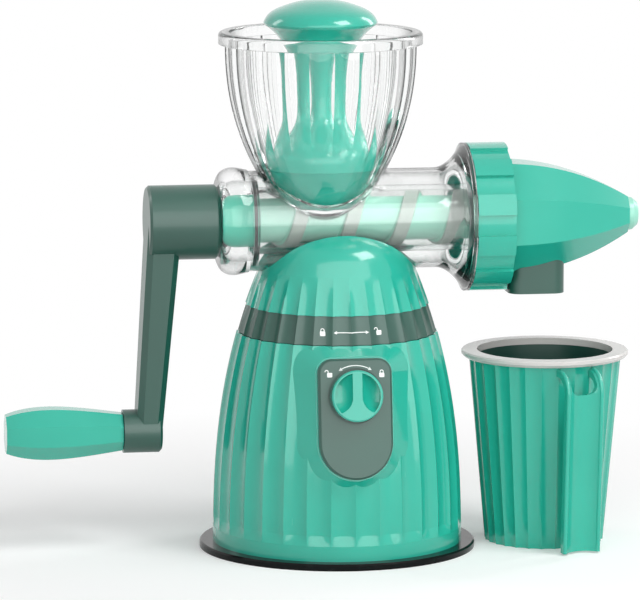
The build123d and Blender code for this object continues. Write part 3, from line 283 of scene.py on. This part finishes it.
def foot_rubber():
    """Black glossy rubber with a slight dusting."""
    finish = Finish("foot_rubber")
    dust = finish.limited((finish.noise(180.0, 4.0) - 0.55) * 3.0)
    return finish.surface(
        Base_Color=finish.blend(dust, (0.004, 0.005, 0.005), (0.012, 0.013, 0.013)),
        Roughness=0.16 + dust * 0.15,
        Specular_IOR_Level=0.12,
        Normal=finish.bump(finish.noise(500.0, 2.0), 0.06, 0.0005),
    )


def seal_rubber():
    finish = Finish("seal_rubber")
    grain = finish.noise(400.0, 3.0)
    return finish.surface(
        Base_Color=finish.blend(grain, (0.012, 0.014, 0.014), (0.035, 0.037, 0.037)),
        Roughness=0.55 + grain * 0.1,
        Normal=finish.bump(grain, 0.1, 0.0004),
    )


def turned_steel():
    """Steel with the fine rings that turning leaves."""
    finish = Finish("turned_steel")
    rings = finish.noise(1400.0, 2.0, (1.0, 0.05, 0.05))
    return finish.surface(
        Base_Color=finish.blend(rings, (0.46, 0.47, 0.48), (0.66, 0.67, 0.68)),
        Metallic=1.0,
        Roughness=0.24 + rings * 0.16,
        Normal=finish.bump(rings, 0.06, 0.0003),
    )


def white_print():
    """White pad-printed ink, slightly uneven at its edges."""
    finish = Finish("white_print")
    speckle = finish.noise(2500.0, 3.0)
    return finish.surface(
        Base_Color=finish.blend(speckle, (0.80, 0.86, 0.83), (0.95, 0.97, 0.96)),
        Roughness=0.45 + speckle * 0.1,
        Normal=finish.bump(speckle, 0.05, 0.0002),
    )


GREEN = moulded_plastic("green_plastic", (0.022, 0.455, 0.335), (0.016, 0.415, 0.305), 0.20, 0.65, 0.40)
DARK = moulded_plastic("dark_green_plastic", (0.006, 0.075, 0.052), (0.004, 0.060, 0.041), 0.38, 0.25, 0.75)
LINER = moulded_plastic("liner_plastic", (0.006, 0.052, 0.038), (0.004, 0.042, 0.030), 0.30, 0.2)
# the third colour of each is the painted edge shade for clear parts seen side-on
CLEAR = clear_plastic("clear_plastic", (0.975, 0.98, 0.978), (0.030, 0.040, 0.037), 0.42, 0.95)
TUBE = clear_plastic("auger_tube_plastic", (0.96, 0.98, 0.97), (0.012, 0.022, 0.019), 0.62, 0.95)
# painted highlight: the clear lip is painted pale grey for the white highlight along the cup's rim
LIP_HIGHLIGHT = moulded_plastic("clear_lip", (0.72, 0.70, 0.68), (0.67, 0.65, 0.63), 0.22, 0.4, 0.5, 0.88)
AUGER = auger_plastic()
RUBBER = foot_rubber()
SEAL = seal_rubber()
STEEL = turned_steel()
PRINT = white_print()

FINISHES = {
    "green_plastic": GREEN,
    "dark_green_plastic": DARK,
    "mint_plastic": AUGER,
    "clear_plastic": CLEAR,
    "clear_lip": LIP_HIGHLIGHT,
    "black_rubber": RUBBER,
    "black_seal": SEAL,
    "steel": STEEL,
}


NODE_FINISHES = {"cup_liner": LINER, "auger_tube": TUBE}  # unlike the rest of their slot


def finish_nodes():
    """Give each CAD node its own finish, or else that of its material slot."""
    for part in frame["record"]["subparts"]:
        node = nodes[part["node"]]
        material = NODE_FINISHES.get(part["node"], FINISHES[part["material_slot"]])
        for slot in node.material_slots:
            slot.material = material


finish_nodes()


# ================================================================ small mesh tools
def mesh_piece(name, faces_of, material, body):
    """New piece from a function that fills a bmesh; it rides on body."""
    mesh = bpy.data.meshes.new(name)
    bm = bmesh.new()
    faces_of(bm)
    bm.normal_update()
    bm.to_mesh(mesh)
    bm.free()
    piece = bpy.data.objects.new(name, mesh)
    bpy.context.scene.collection.objects.link(piece)
    mesh.materials.append(material)
    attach(piece, body)
    return piece


# ================================================================ the auger's flight
# The solid auger is a plain core, so its winding is made here.
FLIGHT_PITCH = 31.5 * MM
FLIGHT_INNER = 12.4 * MM  # sunk into the core
FLIGHT_OUTER = 16.5 * MM  # runs clear of the tube's bore
FLIGHT_TIP = 8.0 * MM
FLIGHT_ROOT = 10.5 * MM
FLIGHT_FRONT_X = 6.5 * MM  # where the flight faces the knob side
FLIGHT_STEPS = 48  # to one turn
FLIGHT_STOP = 4.7 * MM


def wound_flight(bm):
    """One left-handed trapezoid winding between the ends of the auger tube."""
    tube_low, tube_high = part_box("auger_tube")
    first = tube_low.x + FLIGHT_ROOT / 2
    last = tube_high.x - FLIGHT_STOP - FLIGHT_ROOT / 2
    profile = [
        (-FLIGHT_ROOT / 2, FLIGHT_INNER),
        (FLIGHT_ROOT / 2, FLIGHT_INNER),
        (FLIGHT_TIP / 2, FLIGHT_OUTER),
        (-FLIGHT_TIP / 2, FLIGHT_OUTER),
    ]
    steps = int((last - first) / FLIGHT_PITCH * FLIGHT_STEPS)
    rings = []
    for step in range(steps + 1):
        centre_x = first + (last - first) * step / steps
        turn = 2 * math.pi * (centre_x - FLIGHT_FRONT_X) / FLIGHT_PITCH
        out = Vector((0, -math.cos(turn), math.sin(turn)))
        ring = [Vector((centre_x + along, 0, BARREL_Z)) + out * radius for along, radius in profile]
        rings.append([bm.verts.new(corner) for corner in ring])
    for before, after in zip(rings, rings[1:]):
        for i, j in ((0, 1), (1, 2), (2, 3), (3, 0)):
            bm.faces.new([before[i], before[j], after[j], after[i]])
    bm.faces.new(rings[0])
    bm.faces.new(list(reversed(rings[-1])))
    bmesh.ops.recalc_face_normals(bm, faces=bm.faces)


mesh_piece("auger_flight", wound_flight, AUGER, "crank")


# ================================================================ printed lock signs
PRINT_RAISE = 0.12 * MM  # how far the ink stands off the surface
PRINT_THICK = 0.10 * MM


def strip(points, width):
    """Quads of a line of even width through 2D points."""
    quads = []
    sides = []
    for i, point in enumerate(points):
        before = points[max(i - 1, 0)]
        after = points[min(i + 1, len(points) - 1)]
        run = (after - before).normalized()
        across = Vector((-run.y, run.x)) * (width / 2)
        sides.append((point + across, point - across))
    for (a, b), (c, d) in zip(sides, sides[1:]):
        quads.append([a, b, d, c])
    return quads


def arc_points(centre, radius, start, end, count=14):
    angles = [math.radians(start + (end - start) * i / (count - 1)) for i in range(count)]
    return [centre + Vector((math.cos(t), math.sin(t))) * radius for t in angles]


def straight(start, end, count=12):
    return [start.lerp(end, i / (count - 1)) for i in range(count)]


LOCK_ROWS = 7
LOCK_COLUMNS = 4
LOCK_DROP = 0.75  # share of the body below the sign's centre
LOCK_INSET = 0.35 * MM  # narrower first and last row, for rounded corners
OPEN_SWING = 1.9  # radii that an open shackle stands aside
LOCK_WIDTH = 3.1 * MM
LOCK_BODY = 2.7 * MM
SHACKLE_RADIUS = 0.95 * MM
SHACKLE_LINE = 0.5 * MM
SHACKLE_LEG = 0.55 * MM


def padlock(centre, open_to=0):
    """Flat padlock round centre; open_to is -1 for a shackle swung open to the left, 0 for closed."""
    body_low = centre + Vector((0, -LOCK_BODY * LOCK_DROP))
    quads = []
    for row in range(LOCK_ROWS):
        low = body_low + Vector((0, LOCK_BODY * row / LOCK_ROWS))
        high = body_low + Vector((0, LOCK_BODY * (row + 1) / LOCK_ROWS))
        inset = [LOCK_INSET if edge in (0, LOCK_ROWS) else 0.0 for edge in (row, row + 1)]
        half = [LOCK_WIDTH / 2 - value for value in inset]
        for side in range(LOCK_COLUMNS):
            left, right = side / LOCK_COLUMNS, (side + 1) / LOCK_COLUMNS
            quads.append(
                [
                    low + Vector((half[0] * (2 * left - 1), 0)),
                    low + Vector((half[0] * (2 * right - 1), 0)),
                    high + Vector((half[1] * (2 * right - 1), 0)),
                    high + Vector((half[1] * (2 * left - 1), 0)),
                ]
            )
    top = body_low + Vector((0, LOCK_BODY))
    middle_of_loop = top + Vector((open_to * OPEN_SWING * SHACKLE_RADIUS, SHACKLE_LEG))
    loop = arc_points(middle_of_loop, SHACKLE_RADIUS, 180, 0)
    right_leg = middle_of_loop + Vector((SHACKLE_RADIUS, -SHACKLE_LEG - 0.1 * MM))
    left_leg = middle_of_loop + Vector((-SHACKLE_RADIUS, -SHACKLE_LEG * (0.2 if open_to else 1.1)))
    return quads + strip([left_leg] + loop + [right_leg], SHACKLE_LINE)


ARROW_LINE = 0.55 * MM
ARROW_HEAD = 2.0 * MM


def arrow_head(tip, direction):
    run = direction.normalized()
    across = Vector((-run.y, run.x))
    back = tip - run * ARROW_HEAD
    middle_of_head = tip - run * ARROW_HEAD * 0.5
    half = ARROW_HEAD * 0.5
    return [
        [tip, middle_of_head + across * half * 0.5, middle_of_head - across * half * 0.5],
        [middle_of_head + across * half * 0.5, back + across * half, back - across * half,
         middle_of_head - across * half * 0.5],
    ]


def double_arrow(points):
    """Line through points with a head at each end."""
    first = arrow_head(points[0], points[0] - points[2])
    last = arrow_head(points[-1], points[-1] - points[-3])
    return strip(points[2:-2], ARROW_LINE) + first + last


def print_on(name, quads, project, body, material):
    """Thin printed shapes; project takes a 2D point to a surface point and its normal."""

    def build(bm):
        for quad in quads:
            spots = [project(point) for point in quad]
            low = [bm.verts.new(spot + normal * PRINT_RAISE) for spot, normal in spots]
            high = [bm.verts.new(spot + normal * (PRINT_RAISE + PRINT_THICK)) for spot, normal in spots]
            bm.faces.new(high)
            bm.faces.new(list(reversed(low)))
            for i, j in zip(range(len(quad)), list(range(1, len(quad))) + [0]):
                bm.faces.new([low[i], low[j], high[j], high[i]])

    return mesh_piece(name, build, material, body)


CAST_FROM = 0.3  # metres out in front, clear of the whole juicer


def onto_node(node, origin, right, up, look):
    """Projector that drops 2D points along look on to a CAD node's surface."""
    mesh = nodes[node].data
    tree = BVHTree.FromPolygons([v.co for v in mesh.vertices], [p.vertices for p in mesh.polygons])

    def project(point):
        start = origin + right * point.x + up * point.y - look * CAST_FROM
        spot = tree.ray_cast(start, look)[0]
        if spot is None:
            raise RuntimeError(f"the sign misses {node} at {point}")
        return spot, -look

    return project


PLATE_UP = Vector((1, 0, 0)).cross(KNOB_INWARD)
plate_spot = onto_node("control_plate", KNOB_CENTRE, Vector((1, 0, 0)), PLATE_UP, KNOB_INWARD)
ARROW_RADIUS = 17.9 * MM
SIGN_RADIUS = 20.2 * MM
ARROW_HALF_TURN = 33  # degrees from straight up
OPEN_SIGN_TURN = -49
SHUT_SIGN_TURN = 51
PLATE_POINTS = 30
BAND_POINTS = 44


def round_knob(turn):
    """Place of a sign round the knob, turn degrees clockwise from straight up."""
    angle = math.radians(turn)
    return Vector((math.sin(angle), math.cos(angle))) * SIGN_RADIUS


curve = arc_points(Vector((0, 0)), ARROW_RADIUS, 90 + ARROW_HALF_TURN, 90 - ARROW_HALF_TURN, PLATE_POINTS)
print_on(
    "plate_signs",
    double_arrow(curve) + padlock(round_knob(OPEN_SIGN_TURN), -1) + padlock(round_knob(SHUT_SIGN_TURN)),
    plate_spot,
    "base",
    PRINT,
)

BAND_SIGN_DROP = 1.0 * MM
band_low, band_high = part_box("lock_band")
band_spot = onto_node(
    "lock_band",
    Vector((0, 0, (band_low.z + band_high.z) / 2 - BAND_SIGN_DROP)),
    Vector((1, 0, 0)),
    Vector((0, 0, 1)),
    Vector((0, 1, 0)),
)
BAND_ARROW_HALF = 10.6 * MM
BAND_SIGN_X = 16.8 * MM
line = straight(Vector((-BAND_ARROW_HALF, 0)), Vector((BAND_ARROW_HALF, 0)), BAND_POINTS)
print_on(
    "band_signs",
    double_arrow(line) + padlock(Vector((-BAND_SIGN_X, 0))) + padlock(Vector((BAND_SIGN_X, 0)), -1),
    band_spot,
    "head",
    PRINT,
)


# ================================================================ studio
def aim(thing, target):
    thing.rotation_euler = (Vector(target) - thing.location).to_track_quat("-Z", "Y").to_euler()


CAMERA_TARGET = Vector((-0.0101, 0.0015, 0.149))
CAMERA_AZIMUTH = math.radians(-8.5)
CAMERA_RISE = math.radians(8.7)
CAMERA_DISTANCE = 3.12
CAMERA_LENS = 292.5
CAMERA_SENSOR = 36.0
CAMERA_FAR = 200.0

camera_data = bpy.data.cameras.new("camera")
camera_data.lens = CAMERA_LENS
camera_data.sensor_width = CAMERA_SENSOR
camera_data.clip_end = CAMERA_FAR
camera = bpy.data.objects.new("camera", camera_data)
bpy.context.scene.collection.objects.link(camera)
camera.location = CAMERA_TARGET + CAMERA_DISTANCE * Vector(
    (
        math.sin(CAMERA_AZIMUTH) * math.cos(CAMERA_RISE),
        -math.cos(CAMERA_AZIMUTH) * math.cos(CAMERA_RISE),
        math.sin(CAMERA_RISE),
    )
)
aim(camera, CAMERA_TARGET)
bpy.context.scene.camera = camera


def softbox(name, place, target, width, height, power):
    data = bpy.data.lights.new(name, "AREA")
    data.shape = "RECTANGLE"
    data.size = width
    data.size_y = height
    data.energy = power
    lamp = bpy.data.objects.new(name, data)
    bpy.context.scene.collection.objects.link(lamp)
    lamp.location = place
    aim(lamp, target)


STAGE_MIDDLE = Vector((0, 0, 0.16))


def around(azimuth, rise, distance):
    """Place seen from the object's middle: degrees from -Y towards +X, degrees up, metres."""
    turn, lift = math.radians(azimuth), math.radians(rise)
    flat = distance * math.cos(lift)
    return STAGE_MIDDLE + Vector((flat * math.sin(turn), -flat * math.cos(turn), distance * math.sin(lift)))


# name, degrees round, degrees up, metres away, width, height, watts
LAMPS = [
    ("front", 2, 18, 1.9, 3.0, 1.7, 31.0),
    ("front_right", 50, 50, 2.0, 0.8, 0.8, 19.0),
    ("back_right", 120, 25, 2.0, 0.4, 1.2, 8.0),
    ("back_left", -118, 25, 2.0, 0.4, 1.2, 6.0),
]
for lamp_name, azimuth, rise, distance, width, height, power in LAMPS:
    softbox(lamp_name, around(azimuth, rise, distance), STAGE_MIDDLE, width, height, power)

FLOOR_NEAR = 0.22  # the shadow is kept this far round the middle
FLOOR_FADE = 0.25
FLOOR_LIFT = 0.24
FLOOR_HALF = 60.0
WORLD_LIGHT = 0.25


def paper_floor():
    """White paper: it keeps the shadow near the object and is plain white where it is seen further off."""
    finish = Finish("paper_floor")
    grain = finish.noise(40.0, 3.0)
    paper = finish.node(
        "ShaderNodeBsdfPrincipled",
        None,
        {
            "Base Color": finish.blend(grain, (0.80, 0.80, 0.80), (0.82, 0.82, 0.82)),
            "Roughness": 1.0,
            "Specular IOR Level": 0.0,
        },
    )
    seen = finish.seen_directly()
    lift = (FLOOR_LIFT, FLOOR_LIFT, FLOOR_LIFT, 1)
    glow = finish.node("ShaderNodeEmission", None, {"Color": lift, "Strength": 1.0})
    lifted = finish.node("ShaderNodeAddShader", None, {0: paper.outputs[0], 1: glow.outputs[0]})
    white = finish.node("ShaderNodeEmission", None, {"Color": (1, 1, 1, 1), "Strength": 1.0})
    _, (x, y, _) = finish.place()
    distance = (x * x + y * y) ** 0.5
    far = finish.limited((distance - FLOOR_NEAR) / FLOOR_FADE) * seen
    both = finish.mixed(far, finish.mixed(seen, paper, lifted), white)
    return finish.close(both.outputs[0])


def floor_faces(bm):
    corners = [(-1, -1), (1, -1), (1, 1), (-1, 1)]
    bm.faces.new([bm.verts.new((x * FLOOR_HALF, y * FLOOR_HALF, 0)) for x, y in corners])


floor_mesh = bpy.data.meshes.new("floor")
bm = bmesh.new()
floor_faces(bm)
bm.to_mesh(floor_mesh)
bm.free()
floor = bpy.data.objects.new("floor", floor_mesh)
bpy.context.scene.collection.objects.link(floor)
floor_mesh.materials.append(paper_floor())


def studio_world():
    """Even white surround: soft light on the object, plain white where it is seen directly."""
    world = bpy.data.worlds.new("studio")
    bpy.context.scene.world = world
    sky = Finish("studio", world)
    white = (1, 1, 1, 1)
    light = sky.node("ShaderNodeBackground", None, {"Color": white, "Strength": WORLD_LIGHT})
    seen = sky.node("ShaderNodeBackground", None, {"Color": white, "Strength": 1.0})
    sky.close(sky.mixed(sky.seen_directly(), light, seen).outputs[0])


studio_world()
bpy.context.scene.view_settings.view_transform = "Standard"
